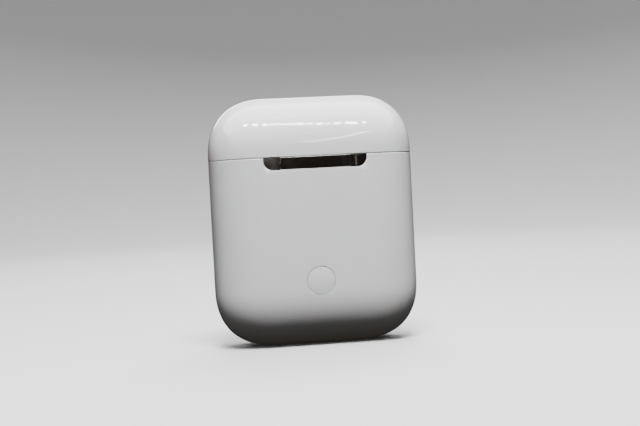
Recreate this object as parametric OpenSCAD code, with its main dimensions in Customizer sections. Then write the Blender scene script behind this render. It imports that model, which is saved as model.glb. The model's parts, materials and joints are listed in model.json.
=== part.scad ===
// Charging case for a pair of wireless earbuds, closed.
// X runs along the width, Z up. The hinge is at the back (+Y) and the lid opens at the front (-Y).
// The origin is in the middle of the base.

/* [Case] */
// Width of the closed case
case_w = 44.3; // [42:0.1:56]
// Depth of the closed case, front to back
case_d = 21.3; // [21:0.1:28]
// Height of the closed case
case_h = 53.5; // [50:0.1:66]
// Radius of the outline's four corners, seen from the front
corner_r = 11.2; // [10.2:0.1:12.4]
// Power of the curve that rounds the edges: 2 is an ellipse, more is squarer
edge_power = 2.4; // [2.2:0.1:2.8]
// Depth of the flat band round the edge, on which the case stands
foot_d = 6; // [5:0.1:6.4]
// Thickness of the outer shells
wall = 1.3; // [1.05:0.05:1.5]
// Height of the lid above the seam
lid_h = 13.2; // [12.8:0.1:15]
// Gap along the seam
seam_gap = 0.12; // [0.08:0.01:0.16]

/* [Earbud recesses] */
// Distance of each head recess from the middle
head_x = 9.6; // [9.4:0.1:11]
// Radius of a head recess
head_r = 7.8; // [7:0.1:7.9]
// Distance of each stem well from the middle
well_x = 12; // [11.8:0.1:13]
// Radius of a stem well
well_r = 3.45; // [2.85:0.05:3.7]
// Height of the well's floor above the base
well_floor = 13.5; // [13.2:0.1:16]
// Thickness of the recess and well walls
frame_wall = 0.8; // [0.7:0.05:0.9]

/* [Hinge] */
// Width of the hinge slot in the back
hinge_w = 22; // [20:0.1:24]
// Length of the centre knuckle
knuckle_w = 14.8; // [12:0.1:16]
// Distance of the hinge axis from the back face
hinge_in = 1.1; // [1.05:0.01:1.15]
// Distance of the hinge axis below the lid's edge
hinge_down = 1.38; // [1.36:0.01:1.42]
// Radius of the slot's lower corners
slot_corner_r = 2; // [1:0.1:2.4]
// Radius of the hinge pin
pin_r = 0.45; // [0.35:0.01:0.55]
// Thickness of the bracket and leaf plates
plate_t = 0.6; // [0.4:0.05:0.6]

/* [Setup button] */
// Radius of the button
button_r = 2.97; // [2.4:0.01:3.5]
// Height of the button above the base
button_z = 14; // [13.5:0.1:16]
// Travel of the button
button_travel = 0.25; // [0.15:0.01:0.3]

/* [Inside] */
// Width of the battery
battery_w = 14; // [11:0.1:14.4]
// Depth of the battery
battery_d = 10; // [7:0.1:10.2]
// Width of the main board
board_w = 14.6; // [13.6:0.1:15]
// Thickness of the main board
board_t = 0.8; // [0.6:0.05:1]
// Radius of a closure magnet
magnet_r = 1.3; // [1:0.05:1.4]

/* [Charging port] */
// Width of the port's opening
port_w = 7.2; // [6.6:0.1:8]
// Depth of the port's opening
port_d = 2; // [1.8:0.05:2.2]
// Height of the port's metal shell
port_h = 7; // [6:0.1:7.2]

/* [Hidden] */
$fn = 64;

// Clearances
glue_gap = 0.05;
back_gap = 0.08;
run_gap = 0.03;
edge_steps = 8;
past = 1;

// The outer form
half_d = case_d / 2;
seam_z = case_h - lid_h;
lid_z = seam_z + seam_gap;
inner_y = half_d - wall;

// The frame's deck, skirt, recesses and wells
deck_t = 1.2;
skirt_t = 0.75;
skirt_h = 4.1;
deck_z = seam_z - deck_t;
head_z = seam_z + 0.8;
lid_head_z = lid_z + 1.78;
cup_r = head_r + frame_wall;
tube_r = well_r + frame_wall + 0.05;
carrier_t = 2.2;
pocket_step = 0.25;
pocket_r = well_r + pocket_step;
tube_z = well_floor - carrier_t;
cup_floor_z = head_z - cup_r;

// The wall between the battery and the board
web_y = 1.6;
web_t = 1;
web_z = tube_z + 1.7;
web_top_z = cup_floor_z - 1.2;
standoff_r = 1;
standoff_h = 1.6;
standoff_x = 5.6;
board_y = web_y + web_t + standoff_h;
board_back_y = board_y + board_t;
board_z = tube_z - 2.3;
board_top_z = cup_floor_z - 0.5;
standoff_z = [web_z + 0.8, web_top_z - 1.6];

// The hinge, whose cross-sections are drawn from its axis: u outwards, v up
hinge_y = half_d - hinge_in;
hinge_z = lid_z - hinge_down;
recess = 0.05;
knuckle_r = hinge_in - recess;
slot_down = hinge_down - 0.02;
slot_z = hinge_z - slot_down;
plate_u = wall + recess - hinge_in;
plate_y = hinge_y - plate_u - plate_t;
bracket_foot_z = slot_z - 4;
leaf_top = hinge_down + 3.7;
leaf_lean = rounded_in(wall, hinge_z + leaf_top - (case_h - corner_r));
leaf_u = plate_u + leaf_lean;
leaf_y = hinge_y - leaf_u - plate_t;
knuckle_low_gap = 0.11;
knuckle_top_gap = 0.08;
end_top_gap = 0.17;
knuckle_side_gap = 0.06;
knuckle_down = slot_down - knuckle_low_gap;
knuckle_up = hinge_down - knuckle_top_gap;
end_up = hinge_down - end_top_gap;
turn_r = sqrt(pow(knuckle_r, 2) + pow(knuckle_down, 2)) + run_gap;
end_knuckle_x = knuckle_w / 2 + knuckle_side_gap;
end_knuckle_w = hinge_w / 2 - recess - end_knuckle_x;
pin_end_gap = 0.4;

// Screws: shank, head and how deep they go
screw_r = 0.4;
screw_head_r = 0.9;
screw_head_t = 0.4;
screw_len = 2.4;
bracket_screw_x = hinge_w / 2 - 2.5;
bracket_screw_z = slot_z - 2.2;
leaf_screw_x = 5;
leaf_screw_z = lid_z + 2;
boss_w = 3.4;
boss_h = 3.2;

// Setup button, counted in from the back face
button_hole_r = button_r + 0.07;
button_y = half_d - 0.03;
flange_r = button_r + 0.5;
flange_t = 0.6;
flange_y = inner_y - back_gap - flange_t;
button_stem_r = 1;
switch_w = 3.6;
switch_t = 1.4;
switch_y = board_back_y + switch_t;
plunger_r = 0.8;
plunger_in = 0.4;
stem_y = switch_y + 0.6;
retainer_t = 0.3;
retainer_y = flange_y - button_travel - 0.13 - retainer_t;
retainer_r = flange_r + 0.63;

// Status light and the magnets, set back from the front wall
magnet_h = 2;
magnet_x = 2.2;
magnet_y = -inner_y + 2.15;
light_r = 0.8;
light_y = -inner_y + 3.85;
light_h = 2.3;
led_t = 0.7;
flex_t = 0.2;
led_z = seam_z - light_h - 0.1 - led_t;
sensor_y = light_y + 2.6;
sensor_magnet_r = 0.9;
bud_magnet_z = [well_floor + 8.5, well_floor + 15.5];
bud_magnet_x = well_x + tube_r + 0.2;

// Charging pins
charge_pin_r = 0.5;
charge_pin_x = 1.4;
charge_pin_head_r = 0.72;
charge_pin_out = 0.7;
charge_pin_travel = 0.4;
pin_clear = 0.2;
pocket_top_z = well_floor + charge_pin_out + pin_clear;
contact_flex_t = 0.3;

// Battery, between the port and the recesses
battery_z = well_floor + 0.7;
battery_top_z = cup_floor_z - 1;
tape_t = 0.3;
battery_y = web_y - tape_t - battery_d;

// Charging port, counted up from the base
port_wall = 0.7;
port_z = wall + 0.2;
ring_w = port_w + 2.2;
ring_d = port_d + 2.2;
bracket_t = 0.5;
port_top_z = port_z + port_h;
port_screw_x = 6.2;
port_boss_r = 1.4;
port_boss_z = port_top_z + bracket_t;
contact_pitch = 0.68;
contact_count = 8;

// Points of the rounded edge, from the flat band to the flat face
function edge_points(r, half) =
    let (start = asin(pow(foot_d / 2 / half, edge_power / 2)))
    [for (i = [0:edge_steps])
        let (a = start + (90 - start) * i / edge_steps)
        [i == 0 ? r : r * pow(cos(a), 2 / edge_power), half * pow(sin(a), 2 / edge_power)]];

function flip(points) = [for (i = [len(points) - 1:-1:0]) points[i]];

// Depth of the outer form's half, at a distance x from the middle
function half_depth_at(x) =
    half_d * pow(1 - pow(max(x - case_w / 2 + corner_r, 0) / corner_r, edge_power), 1 / edge_power);

// How far a wall set in by inset has come in at a height above the lid's straight part
function rounded_in(inset, rise) =
    (half_d - inset) * (1 - pow(1 - pow(max(rise, 0) / (corner_r - inset), edge_power), 1 / edge_power));

module along_x(x0, x1) {
    translate([x0, 0, 0]) rotate([90, 0, 90]) linear_extrude(x1 - x0) children();
}

module along_y(y0, y1) {
    translate([0, y1, 0]) rotate([90, 0, 0]) linear_extrude(y1 - y0) children();
}

module both_sides() {
    children();
    mirror([1, 0, 0]) children();
}

// Rod along Y, from y0 to y1
module rod_y(x, z, r, y0, y1) {
    translate([x, y1, z]) rotate([90, 0, 0]) cylinder(r = r, h = y1 - y0);
}

module block(low, high) {
    translate(low) cube(high - low);
}

// Edge profile of the outer form, set in by inset: distance from the corner's axis, then depth
module edge_profile(inset) {
    e = edge_points(corner_r - inset, half_d - inset);
    polygon(concat([for (p = flip(e)) [p[0], -p[1]]], e));
}

// Section of the outer form on a level plane, set in by inset
module plan_outline(inset) {
    e = edge_points(corner_r - inset, half_d - inset);
    x = case_w / 2 - corner_r;
    right = concat([for (p = flip(e)) [x + p[0], -p[1]]], [for (p = e) [x + p[0], p[1]]]);
    polygon(concat(right, [for (p = flip(right)) [-p[0], p[1]]]));
}

// Bottom or top end of the outer form: a bar along the edge between two turned corners
module rounded_end(inset) {
    x = case_w / 2 - corner_r;
    along_x(-x, x) rotate(90) edge_profile(inset);
    both_sides() translate([x, 0, 0]) rotate([90, 0, 0]) rotate_extrude(angle = 90) edge_profile(inset);
}

// Outer form from the base up to top_z
module lower_form(inset, top_z) {
    translate([0, 0, corner_r]) linear_extrude(top_z - corner_r) plan_outline(inset);
    translate([0, 0, corner_r]) mirror([0, 0, 1]) rounded_end(inset);
}

// Outer form from bottom_z up to the top
module upper_form(inset, bottom_z) {
    end_z = case_h - corner_r;
    translate([0, 0, bottom_z]) linear_extrude(end_z - bottom_z) plan_outline(inset);
    translate([0, 0, end_z]) rounded_end(inset);
}

// Hinge slot seen from behind: square at the seam, round at its lower corners
module slot_outline(gap) {
    half = hinge_w / 2 - gap;
    low = slot_z + gap;
    r = slot_corner_r - gap;
    translate([-half, low + r]) square([2 * half, seam_z - low - r]);
    translate([-half + r, low]) square([2 * (half - r), r]);
    for (side = [-1, 1]) translate([side * (half - r), low + r]) circle(r);
}

// Level rounded rectangle with full round ends
module stadium(w, d) {
    square([w - d, d], center = true);
    for (side = [-1, 1]) translate([side * (w - d) / 2, 0]) circle(d / 2);
}

// Countersunk screw driven towards -Y, its head's face at y
module countersunk(x, z, y, gap) {
    translate([x, y, z]) rotate([90, 0, 0]) {
        cylinder(r1 = screw_head_r + gap, r2 = screw_r + gap, h = screw_head_t);
        cylinder(r = screw_r + gap, h = screw_len + gap);
    }
}

// Room that the body's back edge and the end knuckles need as the lid turns over them
module edge_relief() {
    start = knuckle_w / 2;
    round_x = pow(1 - pow(hinge_y / half_d, edge_power), 1 / edge_power) * corner_r;
    end = case_w / 2 - corner_r + round_x;
    steps = 6;
    rims = [for (i = [0:steps])
        let (x = start + (end - start) * i / steps, out = half_depth_at(x) - hinge_y)
        [sqrt(pow(out, 2) + pow(hinge_down - seam_gap, 2)) + 0.04, x]];
    both_sides() translate([0, hinge_y, hinge_z]) rotate([90, 0, 90]) rotate_extrude()
        polygon(concat([[0, start]], rims, [[0, end]]));
}

module body_shell() {
    color("white") difference() {
        lower_form(0, seam_z);
        lower_form(wall, seam_z + past);
        along_y(inner_y - past, half_d + past) slot_outline(0);
        translate([-hinge_w / 2, inner_y - past, seam_z - recess]) cube([hinge_w, wall + 2 * past, past]);
        along_x(-end_knuckle_x, end_knuckle_x) translate([hinge_y, hinge_z]) circle(turn_r);
        rod_y(0, button_z, button_hole_r, inner_y - past, half_d + past);
        translate([0, 0, -past]) linear_extrude(wall + 2 * past) stadium(ring_w + 0.04, ring_d + 0.04);
    }
}

module frame_side() {
    translate([head_x, 0, head_z]) sphere(cup_r);
    translate([well_x, 0, tube_z]) cylinder(r = tube_r, h = head_z - tube_z);
    block([well_x, -1.5, bud_magnet_z[0]], [bud_magnet_x, 1.5, bud_magnet_z[1]]);
    block([bracket_screw_x - boss_w / 2, hinge_y / 2, bracket_screw_z - boss_h / 2],
        [bracket_screw_x + boss_w / 2, plate_y, bracket_screw_z + boss_h / 2]);
    translate([port_screw_x, 0, port_boss_z]) cylinder(r = port_boss_r, h = web_z - port_boss_z);
    block([port_screw_x, -1, tube_z + 0.3], [well_x, 1, web_z]);
    block([0, web_y, web_z], [well_x - well_r, web_y + web_t, web_top_z]);
    for (z = standoff_z) rod_y(standoff_x, z, standoff_r, web_y, board_y);
}

module inner_frame() {
    color("gainsboro") difference() {
        union() {
            difference() {
                union() {
                    translate([0, 0, deck_z]) linear_extrude(deck_t) plan_outline(wall + glue_gap);
                    translate([0, 0, deck_z - skirt_h]) linear_extrude(skirt_h) difference() {
                        plan_outline(wall + glue_gap);
                        plan_outline(wall + glue_gap + skirt_t);
                    }
                }
                block([-hinge_w / 2 - 0.2, hinge_y - turn_r - run_gap, 0],
                    [hinge_w / 2 + 0.2, half_d, case_h]);
            }
            both_sides() frame_side();
        }
        block([-case_w, -case_d, seam_z], [case_w, case_d, case_h + past]);
        both_sides() {
            translate([head_x, 0, head_z]) sphere(head_r);
            translate([well_x, 0, 0]) cylinder(r = well_r, h = head_z);
            translate([well_x, 0, 0]) cylinder(r = pocket_r, h = pocket_top_z);
            countersunk(bracket_screw_x, bracket_screw_z, hinge_y - plate_u, 0.02);
            translate([port_screw_x, 0, 0]) cylinder(r = screw_r + 0.02, h = port_boss_z + screw_len);
            rod_y(standoff_x, standoff_z[1], screw_r + 0.02, board_y - standoff_h, board_y + past);
        }
        translate([0, light_y, 0]) cylinder(r = light_r + 0.03, h = case_h);
    }
}

// End knuckles and the plate behind the wall that carries them
module hinge_bracket() {
    color("silver") difference() {
        union() {
            both_sides() intersection() {
                along_x(end_knuckle_x, end_knuckle_x + end_knuckle_w) translate([hinge_y, hinge_z])
                    translate([-plate_u, -slot_down]) square([plate_u + knuckle_r, slot_down + end_up]);
                along_y(0, half_d) slot_outline(recess);
            }
            both_sides() block([end_knuckle_x, plate_y, bracket_foot_z],
                [hinge_w / 2 - recess, hinge_y - plate_u, seam_z - recess]);
            block([-end_knuckle_x, plate_y, bracket_foot_z],
                [end_knuckle_x, hinge_y - plate_u, hinge_z - turn_r - run_gap]);
        }
        along_x(-case_w, case_w) translate([hinge_y, hinge_z]) circle(pin_r);
        both_sides() countersunk(bracket_screw_x, bracket_screw_z, hinge_y - plate_u, 0.02);
    }
}

module hinge_bracket_screws() {
    color("dimgray") both_sides() countersunk(bracket_screw_x, bracket_screw_z, hinge_y - plate_u, 0);
}

module hinge_pin() {
    color("silver") along_x(-hinge_w / 2 + pin_end_gap, hinge_w / 2 - pin_end_gap)
        translate([hinge_y, hinge_z]) circle(pin_r);
}

module battery() {
    color("dimgray") block([-battery_w / 2, battery_y, battery_z],
        [battery_w / 2, battery_y + battery_d, battery_top_z]);
}

module battery_tape() {
    color("black") block([-battery_w / 2 + 1, battery_y + battery_d, battery_z + 1],
        [battery_w / 2 - 1, web_y, web_top_z]);
}

module battery_lead() {
    color("orange") block([-2, web_y - 3, battery_top_z], [2, board_y, battery_top_z + flex_t]);
}

module main_board() {
    color("darkgreen") difference() {
        block([-board_w / 2, board_y, board_z], [board_w / 2, board_back_y, board_top_z]);
        both_sides() rod_y(standoff_x, standoff_z[1], screw_r + 0.02, 0, half_d);
    }
}

module board_chips() {
    color("black") {
        block([-2.5, board_back_y, button_z + 6], [2.5, board_back_y + 0.7, button_z + 11]);
        block([-3.4, board_y - 0.8, button_z + 5], [-0.4, board_y, button_z + 8]);
        block([1, board_y - 0.9, button_z + 3], [3.6, board_y, button_z + 5]);
        block([-4.4, board_y - 0.7, button_z + 10], [-2.4, board_y, button_z + 12]);
    }
}

module board_shield() {
    can_t = 0.15;
    color("silver") difference() {
        block([-5, board_back_y, button_z + 4], [5, board_back_y + 1.1, button_z + 13]);
        block([-5 + can_t, 0, button_z + 4 + can_t],
            [5 - can_t, board_back_y + 1.1 - can_t, button_z + 13 - can_t]);
    }
}

module board_screws() {
    color("dimgray") both_sides() {
        rod_y(standoff_x, standoff_z[1], screw_r, board_y - standoff_h + 0.1, board_back_y);
        rod_y(standoff_x, standoff_z[1], screw_head_r, board_back_y, board_back_y + 0.5);
    }
}

module setup_switch() {
    color("black") difference() {
        block([-switch_w / 2, board_back_y, button_z - switch_w / 2],
            [switch_w / 2, switch_y, button_z + switch_w / 2]);
        rod_y(0, button_z, plunger_r + run_gap, switch_y - plunger_in - button_travel - 0.1, switch_y + past);
    }
}

module switch_plunger() {
    color("white") rod_y(0, button_z, plunger_r, switch_y - plunger_in, stem_y);
}

module setup_button() {
    color("white") {
        rod_y(0, button_z, button_r, flange_y, button_y);
        rod_y(0, button_z, flange_r, flange_y, flange_y + flange_t);
        rod_y(0, button_z, button_stem_r, stem_y, flange_y);
    }
}

// Dished plate glued behind the wall, which traps the button's flange
module button_retainer() {
    color("silver") difference() {
        rod_y(0, button_z, retainer_r, retainer_y, inner_y - back_gap);
        rod_y(0, button_z, flange_r + 0.1, retainer_y + retainer_t, half_d);
        rod_y(0, button_z, button_stem_r + glue_gap, 0, half_d);
    }
}

module light_pipe() {
    color("ivory") translate([0, light_y, seam_z - light_h]) cylinder(r = light_r, h = light_h);
}

module status_led() {
    color("white") block([-0.5, light_y - 0.5, led_z], [0.5, light_y + 0.5, led_z + led_t]);
}

// Strip under the deck, turned down over the back of the board
module led_flex() {
    color("orange") {
        block([-0.9, light_y - 0.8, led_z - flex_t], [0.9, board_back_y + flex_t, led_z]);
        block([-0.9, board_back_y, board_top_z - 2.5], [0.9, board_back_y + flex_t, led_z]);
    }
}

module lid_sensor() {
    color("black") block([-0.7, sensor_y - 0.7, led_z], [0.7, sensor_y + 0.7, led_z + led_t]);
}

module deck_magnets() {
    color("silver") both_sides() translate([magnet_x, magnet_y, deck_z - magnet_h])
        cylinder(r = magnet_r, h = magnet_h);
}

module bud_magnets() {
    color("silver") both_sides()
        block([bud_magnet_x, -1.4, bud_magnet_z[0] + 0.3], [bud_magnet_x + 1.7, 1.4, bud_magnet_z[1] - 0.3]);
}

module contact_carriers() {
    color("dimgray") both_sides() difference() {
        translate([well_x, 0, tube_z]) cylinder(r = pocket_r - 0.02, h = carrier_t);
        for (side = [-1, 1]) translate([well_x + side * charge_pin_x, 0, tube_z - past]) {
            cylinder(r = charge_pin_r + run_gap, h = carrier_t + 2 * past);
            cylinder(r = charge_pin_head_r + 0.05, h = past + 0.85);
        }
    }
}

// One pair of sprung pins, with the heads that keep them in the carrier
module contact_pins(x) {
    for (side = [-1, 1]) translate([x + side * charge_pin_x, 0, tube_z + 0.5]) {
        cylinder(r = charge_pin_head_r, h = 0.32);
        cylinder(r = charge_pin_r, h = carrier_t + charge_pin_out - 0.5);
    }
}

module left_contact_pins() { color("gold") contact_pins(-well_x); }

module right_contact_pins() { color("gold") contact_pins(well_x); }

module contact_flex() {
    color("orange") translate([0, 0, tube_z - contact_flex_t]) linear_extrude(contact_flex_t) {
        for (side = [-1, 1]) translate([side * well_x, 0]) circle(well_r - 0.05);
        translate([-well_x, web_y]) square([2 * well_x, board_y - web_y]);
    }
}

module port_ring() {
    color("silver") translate([0, 0, recess]) linear_extrude(port_z - recess) difference() {
        stadium(ring_w, ring_d);
        stadium(port_w + 0.4, port_d + 0.4);
    }
}

module port_shell() {
    color("silver") translate([0, 0, port_z]) linear_extrude(port_h) difference() {
        stadium(port_w + 2 * port_wall, port_d + 2 * port_wall);
        stadium(port_w, port_d);
    }
}

// Plug that closes the port's inner end, with the tongue that carries the contacts
module port_insulator() {
    color("black") {
        block([-2.6, -port_d / 2 + glue_gap, port_top_z - 1.6], [2.6, port_d / 2 - glue_gap, port_boss_z]);
        block([-2.6, port_d / 2 - 0.35, port_z + 0.6], [2.6, port_d / 2 - glue_gap, port_top_z - 1.6]);
    }
}

module port_contacts() {
    first = -(contact_count - 1) / 2 * contact_pitch;
    color("gold") for (i = [0:contact_count - 1])
        translate([first + i * contact_pitch - 0.2, port_d / 2 - 0.5, port_z + 1]) cube([0.4, 0.15, 4]);
}

module port_bracket() {
    color("silver") difference() {
        translate([0, 0, port_top_z]) linear_extrude(bracket_t)
            square([2 * port_screw_x + 3.6, port_d + 2.6], center = true);
        translate([0, 0, port_top_z - past]) linear_extrude(3 * past)
            square([5.2 + 2 * glue_gap, port_d], center = true);
        both_sides() translate([port_screw_x, 0, 0]) cylinder(r = screw_r + 0.02, h = case_h);
    }
}

module port_screws() {
    color("dimgray") both_sides() translate([port_screw_x, 0, port_top_z]) {
        cylinder(r = screw_r, h = bracket_t + screw_len - 0.1);
        mirror([0, 0, 1]) cylinder(r = screw_head_r, h = 0.5);
    }
}

module port_flex() {
    color("orange") block([-2.4, -0.8, port_boss_z], [2.4, board_y, port_boss_z + flex_t]);
}

module lid_shell() {
    color("white") difference() {
        upper_form(0, lid_z);
        upper_form(wall, lid_z - past);
        edge_relief();
    }
}

module lid_liner() {
    color("gainsboro") difference() {
        union() {
            translate([0, 0, lid_z]) linear_extrude(deck_t) plan_outline(wall + glue_gap);
            both_sides() {
                translate([head_x, 0, lid_head_z]) sphere(cup_r);
                block([leaf_screw_x - boss_w / 2, hinge_y / 2, lid_z],
                    [leaf_screw_x + boss_w / 2, leaf_y, leaf_screw_z + boss_h / 2]);
            }
        }
        block([-case_w, -case_d, 0], [case_w, case_d, lid_z]);
        both_sides() {
            translate([head_x, 0, lid_head_z]) sphere(head_r);
            countersunk(leaf_screw_x, leaf_screw_z, hinge_y - leaf_u, 0.02);
        }
        block([-knuckle_w / 2 - 0.2, leaf_y, 0], [knuckle_w / 2 + 0.2, half_d, lid_z + deck_t + past]);
        edge_relief();
    }
}

// Centre knuckle, flat behind and round inside, with the leaf behind the lid's back wall
module hinge_leaf() {
    color("silver") difference() {
        union() {
            along_x(-knuckle_w / 2, knuckle_w / 2) translate([hinge_y, hinge_z]) {
                circle(knuckle_r);
                translate([-leaf_u - plate_t, 0]) square([leaf_u + plate_t + knuckle_r, knuckle_up]);
                translate([0, -knuckle_down]) square([knuckle_r, knuckle_down]);
            }
            along_x(-knuckle_w / 2 + 0.4, knuckle_w / 2 - 0.4) translate([hinge_y, hinge_z])
                translate([-leaf_u - plate_t, 0]) square([plate_t, leaf_top]);
        }
        along_x(-case_w, case_w) translate([hinge_y, hinge_z]) circle(pin_r + run_gap);
        both_sides() countersunk(leaf_screw_x, leaf_screw_z, hinge_y - leaf_u, 0.02);
    }
}

module hinge_leaf_screws() {
    color("dimgray") both_sides() countersunk(leaf_screw_x, leaf_screw_z, hinge_y - leaf_u, 0);
}

module lid_magnets() {
    color("silver") both_sides() translate([magnet_x, magnet_y, lid_z + deck_t])
        cylinder(r = magnet_r, h = magnet_h);
}

module lid_sensor_magnet() {
    color("silver") translate([0, sensor_y, lid_z + deck_t]) cylinder(r = sensor_magnet_r, h = 1.5);
}

body_shell();
inner_frame();
hinge_bracket();
hinge_bracket_screws();
hinge_pin();
battery();
battery_tape();
battery_lead();
main_board();
board_chips();
board_shield();
board_screws();
setup_switch();
button_retainer();
light_pipe();
status_led();
led_flex();
lid_sensor();
deck_magnets();
bud_magnets();
contact_carriers();
contact_flex();
port_ring();
port_shell();
port_insulator();
port_contacts();
port_bracket();
port_screws();
port_flex();
lid_shell();
lid_liner();
hinge_leaf();
hinge_leaf_screws();
lid_magnets();
lid_sensor_magnet();
setup_button();
switch_plunger();
left_contact_pins();
right_contact_pins();
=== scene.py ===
# %% [markdown]
# # A wireless earbuds case
# The case is a smooth white pebble that opens along one straight seam. This lesson
# builds its looks around a packed construction model, which holds every piece at its
# real size and says which pieces move together. Each cell adds one piece or finish.
# The construction model is the frame: its pieces are never moved, only dressed, or
# hidden behind a finer mesh of the same size.

# %% Load the frame and read the driving sizes
import json
import math

import bmesh
import bpy
import numpy as np
from mathutils import Matrix, Vector


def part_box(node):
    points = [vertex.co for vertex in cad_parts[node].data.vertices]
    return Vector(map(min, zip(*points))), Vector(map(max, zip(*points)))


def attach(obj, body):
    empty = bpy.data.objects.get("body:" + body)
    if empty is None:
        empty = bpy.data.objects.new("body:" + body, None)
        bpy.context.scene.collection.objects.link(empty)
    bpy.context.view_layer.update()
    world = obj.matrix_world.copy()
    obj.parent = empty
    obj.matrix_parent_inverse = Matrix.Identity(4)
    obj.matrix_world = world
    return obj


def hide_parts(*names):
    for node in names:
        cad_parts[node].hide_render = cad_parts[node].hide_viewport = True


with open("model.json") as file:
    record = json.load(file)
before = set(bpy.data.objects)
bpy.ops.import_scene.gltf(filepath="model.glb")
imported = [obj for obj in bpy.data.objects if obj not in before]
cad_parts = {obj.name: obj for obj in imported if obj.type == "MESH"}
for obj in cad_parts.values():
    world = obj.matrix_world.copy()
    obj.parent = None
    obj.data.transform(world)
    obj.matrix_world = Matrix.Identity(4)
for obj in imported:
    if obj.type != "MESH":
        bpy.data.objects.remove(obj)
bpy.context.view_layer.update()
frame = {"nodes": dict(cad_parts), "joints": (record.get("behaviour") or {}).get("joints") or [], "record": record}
MM = 0.001

shell_low, shell_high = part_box("body_shell")
lid_low, lid_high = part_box("lid_shell")
WIDTH = shell_high.x - shell_low.x
DEPTH = shell_high.y - shell_low.y
HEIGHT = lid_high.z
SEAM = shell_high.z
LID = lid_low.z
WALL = 1.3 * MM  # thickness of both shells
print(f"case {WIDTH / MM:.1f} x {DEPTH / MM:.1f} x {HEIGHT / MM:.1f} mm, seam at {SEAM / MM:.1f} mm")

# %% [markdown]
# ## Meshes from arrays
# Every surface here is a grid: rows of points that run round or along the piece. One
# helper turns such a grid into a mesh, joins the last column to the first, merges the
# points that meet at a pole and makes the faces point outwards. Computing the points as
# whole arrays keeps the formulas readable, and a denser mesh costs no extra code.

# %% Grid helpers
def new_object(name, points, faces):
    """Makes an object from points and faces, welds doubles and turns the faces outwards."""
    mesh = bpy.data.meshes.new(name)
    mesh.from_pydata(points.tolist(), [], faces)
    piece = bpy.data.objects.new(name, mesh)
    bpy.context.scene.collection.objects.link(piece)
    tidy(piece)
    return piece


def tidy(piece, gap=1e-7):
    """Welds points closer than gap, drops faces without area and turns normals outwards."""
    work = bmesh.new()
    work.from_mesh(piece.data)
    bmesh.ops.remove_doubles(work, verts=work.verts, dist=gap)
    bmesh.ops.dissolve_degenerate(work, edges=work.edges, dist=gap)
    bmesh.ops.recalc_face_normals(work, faces=work.faces)
    work.to_mesh(piece.data)
    work.free()


def loft(name, rows, caps=False):
    """Joins rows of points, each a closed loop of as many points, into one skin. Face (i, j) spans
    rows i and i + 1 and columns j and j + 1, and caps closes the first and last row with one face."""
    count, width, _ = rows.shape
    here = np.arange(count * width).reshape(count, width)
    beside = np.roll(here, -1, axis=1)
    quads = np.stack([here[:-1], beside[:-1], beside[1:], here[1:]], axis=-1).reshape(-1, 4).tolist()
    if caps:
        quads += [here[0, ::-1].tolist(), here[-1].tolist()]
    return new_object(name, rows.reshape(-1, 3), quads)


def turned(name, profile, steps=96, centre=(0, 0, 0), axis="Z"):
    """Turns a profile of (radius, height) points round an axis through centre: a point at angle a
    is radius times (cos a, sin a), carried to its height along the axis."""
    profile = np.asarray(profile, float)
    angle = np.linspace(0, 2 * math.pi, steps, endpoint=False)
    across = profile[:, :1] * np.cos(angle)
    along = profile[:, :1] * np.sin(angle)
    up = np.repeat(profile[:, 1:], steps, axis=1)
    order = {"Z": (across, along, up), "Y": (across, up, -along), "X": (up, across, along)}[axis]
    return loft(name, np.stack(order, axis=-1) + np.array(centre))


def quarter(steps):
    """Angles from 0 to 90 degrees."""
    return np.linspace(0, math.pi / 2, steps + 1)


# %% [markdown]
# ## The pebble form
# The outer form is flat in front and behind, and every edge rounds off along the same
# curve. A plain circular fillet would show a kink in its reflections where the flat
# begins, because its curvature starts at once. A superellipse with a power above 2
# starts with no curvature, so highlights glide over it. A level slice of the form is a
# straight stretch with a superelliptic end on each side, and the slice shrinks towards
# the base along a superellipse too.

# %% Outer form
POWER = 2.4
SOFT_R = 12.8 * MM
END_STEPS = 44
STRAIGHT_STEPS = 22
outer = {"x": WIDTH / 2 - SOFT_R, "r": SOFT_R, "y": DEPTH / 2}
INNER_R = 9.9 * MM
inner = {"x": WIDTH / 2 - WALL - INNER_R, "r": INNER_R, "y": DEPTH / 2 - WALL}


def signed_power(value, power):
    """Keeps the sign of value and raises its size to power."""
    return np.sign(value) * np.abs(value) ** power


def slice_columns():
    """Three numbers per column of a slice: its share of the straight stretch, of the end's radius
    and of the half depth. On the ends they follow cos and sin, each raised to 2 / power."""
    angle = np.linspace(-math.pi / 2, math.pi / 2, END_STEPS + 1)
    end = np.stack([
        np.ones_like(angle),
        signed_power(np.cos(angle), 2 / POWER),
        signed_power(np.sin(angle), 2 / POWER)], axis=-1)
    along = np.linspace(1, -1, STRAIGHT_STEPS + 1)[1:-1]
    straight = np.stack([along, np.zeros_like(along), np.ones_like(along)], axis=-1)
    half = np.concatenate([end, straight])
    return np.concatenate([half, half * (-1, -1, -1)])


def slices(levels):
    """Rows of a skin. Each level is (height, straight half length, end radius, half depth)."""
    columns = slice_columns()
    z, x, r, y = (np.asarray(levels, float)[:, i, None] for i in range(4))
    points = [x * columns[:, 0] + r * columns[:, 1], y * columns[:, 2], z + 0 * columns[:, 0]]
    return np.stack(points, axis=-1)


def form_levels(form, bottom, top, steps=26):
    """Levels from the pole at the bottom up to top. In the rounded part, the slice shrinks by
    k = (1 - (drop / r) ** power) ** (1 / power), where drop is the depth below the straight part."""
    angle = quarter(steps)
    drop = form["r"] * np.cos(angle) ** (2 / POWER)
    drop[-1] = 0
    size = np.sin(angle) ** (2 / POWER)
    knee = bottom + form["r"]
    rounded = [(knee - d, form["x"], form["r"] * k, form["y"] * k) for d, k in zip(drop, size)]
    straight = [(z, form["x"], form["r"], form["y"]) for z in np.linspace(knee, top, 8)[1:]]
    return rounded + straight


print("columns round a slice:", len(slice_columns()))

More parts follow.
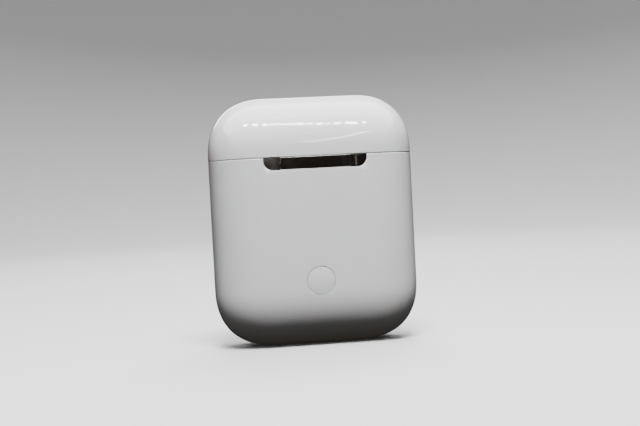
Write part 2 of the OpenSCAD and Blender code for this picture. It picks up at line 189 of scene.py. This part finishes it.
# %% [markdown]
# ## Two shells with a soft seam
# A moulded shell has a wall, and its rim has a small radius, which is what makes the
# seam read as a fine line with a bright lip and not as a drawn stripe. The wall is lofted
# in one go: up the outside, over the rim and down the inside. The lid's rim also slopes
# up towards its inside, because the hinge axis lies below the seam: without that slope
# the lid's back edge would turn into the body's.

# %% Body and lid shells
RIM = 0.14 * MM  # radius of the rim's edge
RIM_RUN = 0.1 * MM  # straight wall left between the form and that edge
LID_SLOPE = 0.42 * MM


def rim_levels(form, rim_z, side, radius=RIM):
    """Rounds a rim by a quarter circle: the slice shrinks by radius times (1 - cos a) while the
    height nears rim_z by radius times sin a. Side is 1 on the outside and -1 on the inside."""
    levels = []
    for a in quarter(5):
        inset = side * radius * (1 - math.cos(a))
        z = rim_z - radius * (1 - math.sin(a))
        levels.append((z, form["x"], form["r"] - inset, form["y"] - inset))
    return levels


def shell(name, rim_z, slope=0.0):
    """A closed wall with its pole at z = 0 and its rim at rim_z, sloping down inside by slope."""
    outside = form_levels(outer, 0, rim_z - RIM - RIM_RUN)
    inside = form_levels(inner, WALL, rim_z - slope - RIM - RIM_RUN)
    path = outside + rim_levels(outer, rim_z, 1)
    path += rim_levels(inner, rim_z - slope, -1)[::-1] + inside[::-1]
    return loft(name, slices(path))


def upside_down(piece, height):
    """Mirrors a piece about half the height, and turns its faces outwards again."""
    piece.data.transform(Matrix(((1, 0, 0, 0), (0, 1, 0, 0), (0, 0, -1, height), (0, 0, 0, 1))))
    piece.data.flip_normals()


body = shell("body_skin", SEAM)
lid = shell("lid_skin", HEIGHT - LID, LID_SLOPE)
upside_down(lid, HEIGHT)
print("shell faces:", len(body.data.polygons), len(lid.data.polygons))

# %% [markdown]
# ## Holes with a lip
# The slot, the button's hole and the port's hole are cut with a tool whose sides flare
# out by a quarter circle just where they leave the surface. The flare leaves the small
# radius that a mould leaves. A boolean keeps the cut exact, and one cutter shape per
# outline is enough: the outline grows by radius times (1 - cos a) over the last stretch.

# %% Cutters
LIP = 0.12 * MM


def outline_round(radius, steps=72):
    """Outline of a circle, given as a function of how far it grows."""
    angle = np.linspace(0, 2 * math.pi, steps, endpoint=False)
    return lambda grow: (radius + grow) * np.stack([np.cos(angle), np.sin(angle)], axis=-1)


def outline_stadium(width, depth, steps=40):
    """Outline of a bar with full round ends: two half circles that stand a straight apart."""
    angle = np.linspace(-math.pi / 2, math.pi / 2, steps + 1)
    right = np.stack([np.cos(angle), np.sin(angle)], axis=-1)
    shift = np.array([(width - depth) / 2, 0])
    return lambda grow: np.concatenate([
        shift + (depth / 2 + grow) * right, -shift - (depth / 2 + grow) * right])


def outline_slot(width, low, high, corner, steps=14):
    """Outline of the hinge slot: square above, with a quarter circle in each lower corner."""
    angle = np.linspace(-math.pi / 2, 0, steps + 1)
    arc = np.stack([np.cos(angle), np.sin(angle)], axis=-1)

    def grown(grow):
        right = np.array([width / 2 - corner, low + corner]) + (corner + grow) * arc
        top = np.array([[width / 2 + grow, high]])
        half = np.concatenate([right, top])
        return np.concatenate([half, half[::-1] * (-1, 1)])

    return grown


def cutter(name, outline, inside, face, beyond, axis="Y"):
    """Carries an outline along an axis from inside, through the face where it flares, to beyond."""
    step = math.copysign(1, face - inside)
    stations = [(inside, 0.0)]
    stations += [(face - step * LIP * (1 - math.sin(a)), LIP * (1 - math.cos(a))) for a in quarter(5)]
    stations += [(beyond, LIP)]
    rows = []
    for place, grow in stations:
        flat = outline(grow)
        level = np.full(len(flat), place)
        pair = (flat[:, 0], level, flat[:, 1]) if axis == "Y" else (flat[:, 0], flat[:, 1], level)
        rows.append(np.stack(pair, axis=-1))
    return loft(name, np.array(rows), caps=True)


def cut(piece, tool):
    """Subtracts the tool from the piece, exactly, and removes the tool."""
    change = piece.modifiers.new("cut", "BOOLEAN")
    change.object = tool
    change.solver = "EXACT"
    bpy.context.view_layer.update()
    result = bpy.data.meshes.new_from_object(piece.evaluated_get(bpy.context.evaluated_depsgraph_get()))
    piece.modifiers.clear()
    piece.data = result
    bpy.data.objects.remove(tool)


hinge = next(joint for joint in frame["joints"] if joint["name"] == "lid_hinge")
HINGE_Z = hinge["pos_m"][2]
bracket_low, bracket_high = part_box("hinge_bracket")
SLOT_GAP, SLOT_DOWN = 0.1 * MM, 1.36 * MM
SLOT_W = bracket_high.x - bracket_low.x + SLOT_GAP
SLOT_LOW = HINGE_Z - SLOT_DOWN
SLOT_CORNER = 2 * MM
button_low, button_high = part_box("setup_button")
BUTTON_Z = (button_low.z + button_high.z) / 2
FLANGE_OUT, BUTTON_GAP, PORT_GAP = 0.5 * MM, 0.07 * MM, 0.04 * MM
BUTTON_R = (button_high.z - button_low.z) / 2 - FLANGE_OUT
BACK = DEPTH / 2
CUT_IN, CUT_OUT = 3 * MM, 2 * MM

slot = outline_slot(SLOT_W, SLOT_LOW, SEAM + CUT_OUT, SLOT_CORNER)
cut(body, cutter("slot_tool", slot, BACK - CUT_IN, BACK, BACK + CUT_OUT))
hole = outline_round(BUTTON_R + BUTTON_GAP)
raised = cutter("hole_tool", hole, BACK - CUT_IN, BACK, BACK + CUT_OUT)
raised.data.transform(Matrix.Translation((0, 0, BUTTON_Z)))
cut(body, raised)
ring_low, ring_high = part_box("port_ring")
RING_W, RING_D = ring_high.x - ring_low.x, ring_high.y - ring_low.y
port = outline_stadium(RING_W + PORT_GAP, RING_D + PORT_GAP)
cut(body, cutter("port_tool", port, CUT_IN, 0, -CUT_OUT, axis="Z"))
print("body faces after the cuts:", len(body.data.polygons))

# %% [markdown]
# ## Exact shading normals
# A boolean leaves long thin faces round each cut, and averaged normals make them ripple
# in a glossy finish. The outer form has a formula, so its normals can be worked out
# instead: with u and v the distances into the rounding along X and Z, the surface is
# (u / r) ** n + (|y| / half depth) ** n + (v / r) ** n = 1, and the normal is the
# direction in which that sum grows fastest. All other faces keep their own normals.

# %% Analytic normals
def form_value(points):
    """The sum that is 1 on the outer form, and its direction of growth, for an array of points."""
    x_in = np.maximum(np.abs(points[:, 0]) - outer["x"], 0)
    low, high = outer["r"], HEIGHT - outer["r"]
    z_in = np.maximum(low - points[:, 2], 0) + np.maximum(points[:, 2] - high, 0)
    parts = np.stack([x_in / outer["r"], np.abs(points[:, 1]) / outer["y"], z_in / outer["r"]], axis=-1)
    signs = np.stack([
        np.sign(points[:, 0]), np.sign(points[:, 1]),
        np.sign(points[:, 2] - HEIGHT / 2)], axis=-1)
    scale = np.array([outer["r"], outer["y"], outer["r"]])
    growth = signs * parts ** (POWER - 1) / scale
    return (parts ** POWER).sum(axis=1), growth


def set_exact_normals(piece, tolerance=5e-4, crease=40):
    """Gives each face that lies on the outer form the form's own normals at its corners."""
    mesh = piece.data
    mesh.polygons.foreach_set("use_smooth", np.ones(len(mesh.polygons), bool))
    mesh.set_sharp_from_angle(angle=math.radians(crease))
    count = len(mesh.loops)
    normals = np.empty(count * 3)
    mesh.corner_normals.foreach_get("vector", normals)
    normals = normals.reshape(-1, 3)
    points = np.empty(len(mesh.vertices) * 3)
    mesh.vertices.foreach_get("co", points)
    corner = np.empty(count, int)
    mesh.loops.foreach_get("vertex_index", corner)
    value, growth = form_value(points.reshape(-1, 3))
    off = np.abs(value - 1)[corner] > tolerance
    start = np.empty(len(mesh.polygons), int)
    mesh.polygons.foreach_get("loop_start", start)
    sizes = np.diff(np.append(start, count))
    outside = np.repeat(np.add.reduceat(off, start) == 0, sizes)
    length = np.linalg.norm(growth, axis=1)[corner]
    good = outside & (length > 0)
    normals[good] = growth[corner[good]] / length[good, None]
    mesh.normals_split_custom_set(normals.tolist())
    return int(good.sum())


print("corners with exact normals:", set_exact_normals(body), set_exact_normals(lid))
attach(body, "case_body")
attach(lid, "lid")
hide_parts("body_shell")
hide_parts("lid_shell")

# %% [markdown]
# ## The button
# The button is a plain cap that lies flush in its hole, with a flange behind that keeps
# it in and a stem that reaches the switch. Turning one profile round the axis makes all
# three, and the cap's edge gets the same small radius as the hole, so the two together
# read as one thin ring.

# %% Button cap
def rounded_corner(radius, height, size, steps=4):
    """Points of an outer corner at (radius, height), rounded by a quarter circle of that size."""
    a = quarter(steps)
    return [(radius - size * (1 - math.cos(t)), height - size * (1 - math.sin(t))) for t in a]


STEM_R, CAP_EDGE = 1 * MM, 0.1 * MM
FLANGE_BACK, CAP_THICK = 1.95 * MM, 1.35 * MM  # both measured from the cap's face
FLANGE_LOW, FLANGE_HIGH = button_high.y - FLANGE_BACK, button_high.y - CAP_THICK
flange_r = BUTTON_R + FLANGE_OUT
cap_profile = [(0, button_low.y), (STEM_R, button_low.y)]
cap_profile += [(STEM_R, FLANGE_LOW), (flange_r, FLANGE_LOW)]
cap_profile += [(flange_r, FLANGE_HIGH), (BUTTON_R, FLANGE_HIGH)]
cap_profile += rounded_corner(BUTTON_R, button_high.y, CAP_EDGE)
cap_profile += [(0, button_high.y)]
button = turned("button_cap", cap_profile, 96, (0, 0, BUTTON_Z), "Y")


def soften(piece, crease=35):
    """Smooth shading that stays sharp where faces meet at more than crease degrees."""
    piece.data.polygons.foreach_set("use_smooth", np.ones(len(piece.data.polygons), bool))
    piece.data.set_sharp_from_angle(angle=math.radians(crease))


soften(button)
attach(button, "setup_button")
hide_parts("setup_button")
print("button radius", round(BUTTON_R / MM, 2), "mm")

# %% [markdown]
# ## Finer copies of the working parts
# The other pieces keep the shape that construction gave them. A real edge is never
# perfectly sharp, and the line of light along a small bevel is what makes metal and
# moulded plastic look solid. Each piece is copied, its loose triangles are welded and
# merged where they lie flat, and a bevel runs along every sharp edge. Weighted normals
# then let each large flat face keep its own direction, so it mirrors like a flat face.

# %% Bevelled copies
def finer_copy(node, bevel, segments=2):
    """A welded copy of a CAD node with flat areas merged and its sharp edges bevelled."""
    source = frame["nodes"][node]
    work = bmesh.new()
    work.from_mesh(source.data)
    bmesh.ops.remove_doubles(work, verts=work.verts, dist=1e-6)
    bmesh.ops.dissolve_limit(
        work, angle_limit=math.radians(0.5), verts=work.verts, edges=work.edges,
        use_dissolve_boundaries=False)
    mesh = bpy.data.meshes.new(node + "_fine")
    work.to_mesh(mesh)
    work.free()
    mesh.materials.clear()
    piece = bpy.data.objects.new(node + "_fine", mesh)
    bpy.context.scene.collection.objects.link(piece)
    mesh.polygons.foreach_set("use_smooth", np.ones(len(mesh.polygons), bool))
    round_edges = piece.modifiers.new("bevel", "BEVEL")
    round_edges.width = bevel
    round_edges.segments = segments
    round_edges.limit_method = "ANGLE"
    round_edges.angle_limit = math.radians(35)
    level = piece.modifiers.new("level", "WEIGHTED_NORMAL")
    level.weight = 100
    level.keep_sharp = True
    bpy.context.view_layer.update()
    done = bpy.data.meshes.new_from_object(piece.evaluated_get(bpy.context.evaluated_depsgraph_get()))
    piece.modifiers.clear()
    piece.data = done
    return piece


BEVELS = {
    "inner_frame": 0.12, "lid_liner": 0.12, "hinge_bracket": 0.06, "hinge_leaf": 0.06,
    "hinge_pin": 0.08, "battery": 0.6, "battery_tape": 0.02, "battery_lead": 0.02,
    "main_board": 0.05, "board_chips": 0.06, "board_shield": 0.04, "board_screws": 0.06,
    "hinge_bracket_screws": 0.05, "hinge_leaf_screws": 0.05, "port_screws": 0.06,
    "setup_switch": 0.08, "button_retainer": 0.05, "light_pipe": 0.08, "status_led": 0.05,
    "led_flex": 0.03, "lid_sensor": 0.05, "deck_magnets": 0.1, "bud_magnets": 0.1,
    "lid_magnets": 0.1, "lid_sensor_magnet": 0.1, "contact_carriers": 0.06,
    "contact_flex": 0.04, "port_ring": 0.08, "port_shell": 0.06, "port_insulator": 0.05,
    "port_contacts": 0.03, "port_bracket": 0.05, "port_flex": 0.03, "switch_plunger": 0.06,
    "left_contact_pins": 0.12, "right_contact_pins": 0.12}
slot_of = {part["node"]: part["material_slot"] for part in frame["record"]["subparts"]}
body_of = {name: owner for owner, names in frame["record"]["behaviour"]["bodies"].items() for name in names}
dressed = {"body_shell": body, "lid_shell": lid, "setup_button": button}
for node, width in BEVELS.items():
    piece = finer_copy(node, width * MM)
    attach(piece, body_of[node])
    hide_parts(node)
    dressed[node] = piece
print("pieces:", len(dressed), "of", len(frame["nodes"]), "nodes")

# %% [markdown]
# ## What the finishes share
# All finishes need the same three things: a colour that is never quite even, a gloss
# that hands and cloth have dulled in patches, and hairline scratches. They are built
# once, as node groups with named inputs, and each finish places them with its own
# amounts. Everything is driven by the piece's own coordinates, in metres.

# %% Shared node groups
def make_group(name, inputs, outputs):
    """An empty shader group with number or colour sockets, and its input and output nodes."""
    group = bpy.data.node_groups.new(name, "ShaderNodeTree")
    kinds = {"value": "NodeSocketFloat", "colour": "NodeSocketColor"}
    for socket, kind, default in inputs:
        made = group.interface.new_socket(name=socket, in_out="INPUT", socket_type=kinds[kind])
        made.default_value = default
    for socket, kind in outputs:
        group.interface.new_socket(name=socket, in_out="OUTPUT", socket_type=kinds[kind])
    return group, group.nodes.new("NodeGroupInput"), group.nodes.new("NodeGroupOutput")


def math_node(tree, operation, first, second, clamp=False):
    """A Math node; first and second are sockets or numbers."""
    node = tree.nodes.new("ShaderNodeMath")
    node.operation = operation
    node.use_clamp = clamp
    for index, value in enumerate((first, second)):
        if isinstance(value, (int, float)):
            node.inputs[index].default_value = value
        else:
            tree.links.new(value, node.inputs[index])
    return node.outputs[0]


def noise(tree, scale, detail=4, stretch=(1, 1, 1), turn=(0, 0, 0), roughness=0.55):
    """Noise on Object coordinates, turned and then stretched."""
    place = tree.nodes.new("ShaderNodeTexCoord")
    mapping = tree.nodes.new("ShaderNodeMapping")
    mapping.vector_type = "POINT"
    mapping.inputs["Rotation"].default_value = turn
    mapping.inputs["Scale"].default_value = stretch
    texture = tree.nodes.new("ShaderNodeTexNoise")
    texture.inputs["Scale"].default_value = scale
    texture.inputs["Detail"].default_value = detail
    texture.inputs["Roughness"].default_value = roughness
    tree.links.new(place.outputs["Object"], mapping.inputs["Vector"])
    tree.links.new(mapping.outputs["Vector"], texture.inputs["Vector"])
    return texture.outputs["Fac"]


def ramp(tree, value, low, high):
    """Maps low..high to 0..1, clamped."""
    node = tree.nodes.new("ShaderNodeMapRange")
    node.inputs["From Min"].default_value = low
    node.inputs["From Max"].default_value = high
    tree.links.new(value, node.inputs["Value"])
    return node.outputs["Result"]


def build_tone():
    """Colour that drifts between its own value and a darker one, in soft patches and fine grain."""
    group, source, out = make_group(
        "uneven_tone", [("Color", "colour", (1, 1, 1, 1)), ("Amount", "value", 0.05)], [("Color", "colour")])
    patches = ramp(group, noise(group, 90, 3), 0.35, 0.7)
    grain = ramp(group, noise(group, 2200, 2), 0.3, 0.7)
    coarse = math_node(group, "MULTIPLY", patches, 0.7)
    fine = math_node(group, "MULTIPLY", grain, 0.3)
    mixed = math_node(group, "ADD", coarse, fine)
    dim = math_node(group, "SUBTRACT", 1.0, math_node(group, "MULTIPLY", mixed, source.outputs["Amount"]))
    shade = group.nodes.new("ShaderNodeVectorMath")
    shade.operation = "SCALE"
    group.links.new(source.outputs["Color"], shade.inputs[0])
    group.links.new(dim, shade.inputs["Scale"])
    group.links.new(shade.outputs["Vector"], out.inputs["Color"])
    return group


def build_handling():
    """Roughness and height of a surface that has been handled: smudges dull it in patches, and
    hairlines, which are noise stretched sixty times along two directions, scratch it."""
    group, source, out = make_group(
        "handling",
        [("Roughness", "value", 0.2), ("Smudge", "value", 0.1), ("Scratch", "value", 0.1)],
        [("Roughness", "value"), ("Height", "value")])
    smudge = ramp(group, noise(group, 160, 5, roughness=0.6), 0.48, 0.72)
    lines_a = ramp(group, noise(group, 900, 2, (1, 1, 0.016), (0.3, 0.2, 0.5)), 0.66, 0.72)
    lines_b = ramp(group, noise(group, 700, 2, (0.016, 1, 1), (0.1, 0.7, 0.2)), 0.66, 0.72)
    lines = math_node(group, "MAXIMUM", lines_a, lines_b)
    scratch = math_node(group, "MULTIPLY", lines, source.outputs["Scratch"])
    dulled = math_node(group, "MULTIPLY", smudge, source.outputs["Smudge"])
    marks = math_node(group, "ADD", dulled, scratch)
    total = math_node(group, "ADD", source.outputs["Roughness"], marks, clamp=True)
    group.links.new(total, out.inputs["Roughness"])
    group.links.new(math_node(group, "MULTIPLY", scratch, -1.0), out.inputs["Height"])
    return group


TONE, HANDLING = build_tone(), build_handling()
print("shared groups:", TONE.name, HANDLING.name)

# %% [markdown]
# ## The finishes
# A finish is a Principled shader with the shared groups in front. Glossy white moulding
# is a bright base with a sharp reflection on it and a little light scattering below the
# surface. Polished steel is all reflection, so its look is its roughness and its fine
# scratches. Matt films, tapes and boards only need the right colour and grain.

# %% Finishes
def finish_material(name, colour, roughness, metallic=0.0, smudge=0.08, scratch=0.05, tone=0.05,
                    bump=0.02, **sockets):
    """A Principled material whose colour, roughness and normal come through the shared groups."""
    material = bpy.data.materials.new(name)
    material.use_nodes = True
    tree = material.node_tree
    shader = tree.nodes["Principled BSDF"]
    shader.inputs["Metallic"].default_value = metallic
    for socket, value in sockets.items():
        shader.inputs[socket.replace("_", " ")].default_value = value
    tint = tree.nodes.new("ShaderNodeGroup")
    tint.node_tree = TONE
    tint.inputs["Color"].default_value = (*colour, 1)
    tint.inputs["Amount"].default_value = tone
    tree.links.new(tint.outputs["Color"], shader.inputs["Base Color"])
    wear = tree.nodes.new("ShaderNodeGroup")
    wear.node_tree = HANDLING
    wear.inputs["Roughness"].default_value = roughness
    wear.inputs["Smudge"].default_value = smudge
    wear.inputs["Scratch"].default_value = scratch
    tree.links.new(wear.outputs["Roughness"], shader.inputs["Roughness"])
    relief = tree.nodes.new("ShaderNodeBump")
    relief.inputs["Strength"].default_value = bump
    relief.inputs["Distance"].default_value = 0.02 * MM
    tree.links.new(wear.outputs["Height"], relief.inputs["Height"])
    tree.links.new(relief.outputs["Normal"], shader.inputs["Normal"])
    return material


WHITE = (0.87, 0.875, 0.88)
# Numbers after a colour are roughness, metallic, smudge, scratch, tone and bump, in that order.
GLOSS = {"roughness": 0.025, "smudge": 0.06, "scratch": 0.04, "tone": 0.02,
         "Subsurface_Weight": 0.12, "Subsurface_Scale": 0.6 * MM, "IOR": 1.5}
FINISHES = {
    "white_shell": finish_material("gloss_white", WHITE, **GLOSS),
    "white_button": finish_material("gloss_white_cap", WHITE, **GLOSS),
    "white_liner": finish_material("satin_white", (0.78, 0.78, 0.775), 0.28, smudge=0.08, tone=0.03),
    "hinge_steel": finish_material("polished_steel", (0.60, 0.57, 0.54), 0.06, 1, 0.14, 0.16, 0.08, 0.15),
    "screw_steel": finish_material("plain_steel", (0.45, 0.45, 0.46), 0.32, 1, 0.15, 0.2, 0.1, 0.2),
    "battery_wrap": finish_material("dark_wrap", (0.05, 0.05, 0.055), 0.45, tone=0.2),
    "black_plastic": finish_material("black_moulding", (0.015, 0.015, 0.016), 0.5, tone=0.3),
    "grey_plastic": finish_material("grey_moulding", (0.22, 0.22, 0.23), 0.42, tone=0.15),
    "flex_film": finish_material("amber_film", (0.55, 0.24, 0.04), 0.3, tone=0.2),
    "board_green": finish_material("solder_mask", (0.01, 0.10, 0.04), 0.3, tone=0.35),
    "sheet_metal": finish_material("sheet_steel", (0.62, 0.61, 0.60), 0.25, 1, 0.12, 0.15, 0.08, 0.2),
    "light_window": finish_material("milky_window", (0.86, 0.84, 0.78), 0.18, tone=0.03,
                                    Subsurface_Weight=0.5, Subsurface_Scale=1.5 * MM),
    "led_body": finish_material("led_package", (0.80, 0.76, 0.55), 0.35, tone=0.1),
    "magnet_nickel": finish_material("nickel_plate", (0.63, 0.60, 0.55), 0.14, 1, 0.12, 0.1, 0.08, 0.15),
    "port_steel": finish_material("brushed_port_steel", (0.60, 0.60, 0.61), 0.2, 1, 0.1, 0.2, 0.08, 0.3),
    "gold_contact": finish_material("gold_plate", (0.86, 0.60, 0.22), 0.16, 1, 0.1, 0.1, 0.06, 0.15)}
for node, piece in dressed.items():
    piece.data.materials.clear()
    piece.data.materials.append(FINISHES[slot_of[node]])
print("finishes:", len(FINISHES))

# %% [markdown]
# ## Camera, table and light
# The camera stands low behind the case, a quarter of a metre away, and is tilted a
# little. The table is a wide pale dish whose rim curves up, so that it has no horizon
# from any side. Glossy white shows its shape by what it mirrors: if everything round it
# is bright, it loses its edges. So the dish, the key lamp and the fill lamp are hidden
# from reflections, and the mirrored world is dark. The key lamp stands high behind the
# case, so the upper half is bright and the base fades, and the dish throws no light back
# up, as a dark table would not. A low window in front is there for the gloss alone, so
# that the front of the lid has a highlight too.

# %% Camera
AZIMUTH, ELEVATION, ROLL = math.radians(173), math.radians(1.0), math.radians(3.0)
REACH = 250 * MM
middle = Vector((0, 0, HEIGHT / 2))
LEVEL_SHARE = math.cos(ELEVATION)
toward = Vector((
    math.sin(AZIMUTH) * LEVEL_SHARE, -math.cos(AZIMUTH) * LEVEL_SHARE, math.sin(ELEVATION)))
camera_data = bpy.data.cameras.new("camera")
camera_data.sensor_width = 36
camera_data.lens = 64
camera_data.clip_start = 0.01
camera = bpy.data.objects.new("camera", camera_data)
bpy.context.scene.collection.objects.link(camera)
turn = toward.to_track_quat("Z", "Y").to_matrix() @ Matrix.Rotation(-ROLL, 3, "Z")
AIM_RIGHT, AIM_UP = 1.63 * MM, 1.41 * MM
aim = middle + turn @ Vector((AIM_RIGHT, AIM_UP, 0))
camera.location = aim + toward * REACH
camera.rotation_euler = turn.to_euler()
bpy.context.scene.camera = camera
print("camera at", [round(v / MM) for v in camera.location], "mm")

# %% Table
DISH_FLAT, DISH_BEND, DISH_HEIGHT = 0.55, 0.6, 2.0
bend = quarter(24)
dish_profile = [(r, 0.0) for r in np.linspace(0, DISH_FLAT, 6)]
dish_profile += [(DISH_FLAT + DISH_BEND * math.sin(a), DISH_BEND * (1 - math.cos(a))) for a in bend[1:]]
dish_profile += [(DISH_FLAT + DISH_BEND, DISH_HEIGHT)]
table = turned("table", dish_profile, 128)
table.data.flip_normals()
soften(table, 80)
pale = finish_material("pale_table", (0.62, 0.62, 0.62), 0.7, smudge=0.02, scratch=0, tone=0.02)
table.data.materials.append(pale)
table.visible_glossy = False
table.visible_diffuse = False
print("table radius", DISH_FLAT + DISH_BEND, "m")

# %% Light
def soft_box(name, place, target, size, power, colour=(1, 1, 1)):
    """A rectangular lamp at place that faces target."""
    lamp = bpy.data.lights.new(name, "AREA")
    lamp.shape = "RECTANGLE"
    lamp.size, lamp.size_y = size
    lamp.energy = power
    lamp.color = colour
    holder = bpy.data.objects.new(name, lamp)
    bpy.context.scene.collection.objects.link(holder)
    holder.location = place
    facing = (Vector(place) - Vector(target)).to_track_quat("Z", "Y").to_matrix()
    holder.rotation_euler = facing.to_euler()
    holder.visible_camera = False
    return holder


def behind(up, reach):
    """The point behind the case at an angle up from level, reach away from its middle."""
    return middle + reach * Vector((0.0, math.cos(up), math.sin(up)))


KEY_UP, KEY_REACH, KEY_POWER = math.radians(66), 0.42, 4.9
FILL_AT, FILL_POWER = (-0.1, -0.45, 0.6), 8
WINDOW_AT, WINDOW_POWER = (0.05, -0.55, 0.25), 0.9
key = soft_box("key", behind(KEY_UP, KEY_REACH), middle, (0.15, 0.15), KEY_POWER)
fill = soft_box("front_fill", FILL_AT, middle, (0.5, 0.4), FILL_POWER)
key.visible_glossy = False
fill.visible_glossy = False
window = soft_box("front_window", WINDOW_AT, middle, (0.5, 0.1), WINDOW_POWER)
window.visible_diffuse = False
print("lamps round the case:", key.name, fill.name, window.name)

# %% [markdown]
# ## Lamps that only the gloss shows
# To put a reflection in a chosen place, follow the ray backwards: from the camera to that
# point of the back, then off the surface. With v the direction to the camera and n the
# surface normal, the ray leaves along 2 (n . v) n - v, and a lamp that stands anywhere on
# it is seen at that point. Doing this for the four sides of a small patch gives the lamp
# its size as well, however much the curved surface shrinks it. A row of such lamps draws
# the broken line on the lid, and a chain of them the warm streak below it. The ceiling is
# a stack of overlapping lamps, each reaching less far down than the last, so that its
# mirror image fades towards the seam and doesn't end in a line.

# %% Mirrored lamps
def back_point(x, drop):
    """Point and normal of the outer form's back, x from the middle and drop below the top."""
    u = max(abs(x) - outer["x"], 0) / outer["r"]
    v = max(outer["r"] - drop, 0) / outer["r"]
    y = outer["y"] * (1 - u ** POWER - v ** POWER) ** (1 / POWER)
    point = np.array([x, y, HEIGHT - drop])
    growth = form_value(point[None, :])[1][0]
    return point, growth / np.linalg.norm(growth)


def mirrored(x, drop, reach=0.5):
    """The place, at a distance of reach, that the camera sees mirrored in that point of the back."""
    point, normal = back_point(x, drop)
    seen = np.array(camera.location) - point
    seen /= np.linalg.norm(seen)
    return Vector(point + reach * (2 * normal.dot(seen) * normal - seen))


def patch_lamp(name, x, drop, width, height, radiance, colour=(1, 1, 1)):
    """A lamp whose mirror image fills a patch of that width and height on the back."""
    side = mirrored(x - width / 2, drop) - mirrored(x + width / 2, drop)
    rise = mirrored(x, drop - height / 2) - mirrored(x, drop + height / 2)
    place = mirrored(x, drop)
    facing = (place - Vector(back_point(x, drop)[0])).normalized()
    across = (side - side.dot(facing) * facing).normalized()
    size = (side.length, rise.length)
    lamp = soft_box(name, place, middle, size, radiance * math.pi * size[0] * size[1], colour)
    axes = Matrix((across, facing.cross(across), facing)).transposed()
    lamp.rotation_euler = axes.to_euler()
    lamp.visible_diffuse = False
    return lamp


DASHES, DASH_HEIGHT, DASH_RADIANCE = 14, 0.5 * MM, 110
DASH_LEAST, DASH_MORE = 0.25, 0.4  # shares of the pitch, as the dashes differ in length
LINE_MIDDLE, LINE_WIDTH = 1.6 * MM, 27.2 * MM
LINE_DROP, LINE_LEAN = 6.3 * MM, -0.024
pitch = LINE_WIDTH / DASHES
for index in range(DASHES):
    x = LINE_MIDDLE + LINE_WIDTH / 2 - pitch * (index + 0.5)
    length = pitch * (DASH_LEAST + DASH_MORE * abs(math.sin(1.7 * index + 0.4)))
    drop = LINE_DROP + LINE_LEAN * (x - LINE_MIDDLE)
    patch_lamp(f"dash_{index}", x, drop, length, DASH_HEIGHT, DASH_RADIANCE)

STREAK_STEPS, STREAK_HEIGHT, STREAK_RADIANCE, WARM = 20, 0.26 * MM, 30, (1, 0.84, 0.66)
STREAK_START, STREAK_WIDTH = 2.6 * MM, 14.5 * MM
STREAK_DROP, STREAK_RISE, STREAK_BEND = 10.1 * MM, 1.7 * MM, 1.8
for index in range(STREAK_STEPS):
    t = (index + 0.5) / STREAK_STEPS
    drop = STREAK_DROP - STREAK_RISE * t ** STREAK_BEND
    patch_lamp(f"streak_{index}", STREAK_START - STREAK_WIDTH * t, drop,
               STREAK_WIDTH / STREAK_STEPS, STREAK_HEIGHT, STREAK_RADIANCE, WARM)

CEILING_REACH, CEILING_WIDTH, CEILING_RADIANCE = 0.9, 3.0, 1.6
CEILING_STEPS, CEILING_STEP = 6, math.radians(9)
CEILING_LOW, CEILING_FAR = math.radians(15), math.radians(112)
for index in range(CEILING_STEPS):
    low = CEILING_LOW + CEILING_STEP * index
    up, half = (CEILING_FAR + low) / 2, (CEILING_FAR - low) / 2
    size = (CEILING_WIDTH, 2 * CEILING_REACH * math.tan(half))
    ceiling = soft_box(f"ceiling_{index}", behind(up, CEILING_REACH), middle, size,
                       CEILING_RADIANCE * math.pi * size[0] * size[1])
    ceiling.visible_diffuse = False

# %% [markdown]
# ## The world
# The world is the faint light of the room itself. One even colour would do, but a dome
# that brightens towards the top is closer to a real room and costs a single ramp. Gloss
# would mirror all of that dome as a grey veil, so the Light Path node gives rays that
# come off a shiny surface a much darker world.

# %% World
LOW_SKY, HIGH_SKY = (0.030, 0.026, 0.022, 1), (0.30, 0.305, 0.315, 1)
MIRRORED_SKY = (0.022, 0.019, 0.017, 1)
world = bpy.data.worlds.new("studio")
bpy.context.scene.world = world
world.use_nodes = True
sky = world.node_tree
background = sky.nodes["Background"]
rays = sky.nodes.new("ShaderNodeLightPath")
heading = sky.nodes.new("ShaderNodeTexCoord")
split = sky.nodes.new("ShaderNodeSeparateXYZ")
sky.links.new(heading.outputs["Generated"], split.inputs["Vector"])
dome = sky.nodes.new("ShaderNodeMix")
dome.data_type = "RGBA"
dome.inputs["A"].default_value = LOW_SKY
dome.inputs["B"].default_value = HIGH_SKY
sky.links.new(ramp(sky, split.outputs["Z"], -0.1, 0.6), dome.inputs["Factor"])
level = sky.nodes.new("ShaderNodeMix")
level.data_type = "RGBA"
level.inputs["B"].default_value = MIRRORED_SKY
sky.links.new(rays.outputs["Is Glossy Ray"], level.inputs["Factor"])
sky.links.new(dome.outputs["Result"], level.inputs["A"])
sky.links.new(level.outputs["Result"], background.inputs["Color"])
print("world:", world.name, "with", len(sky.nodes), "nodes")
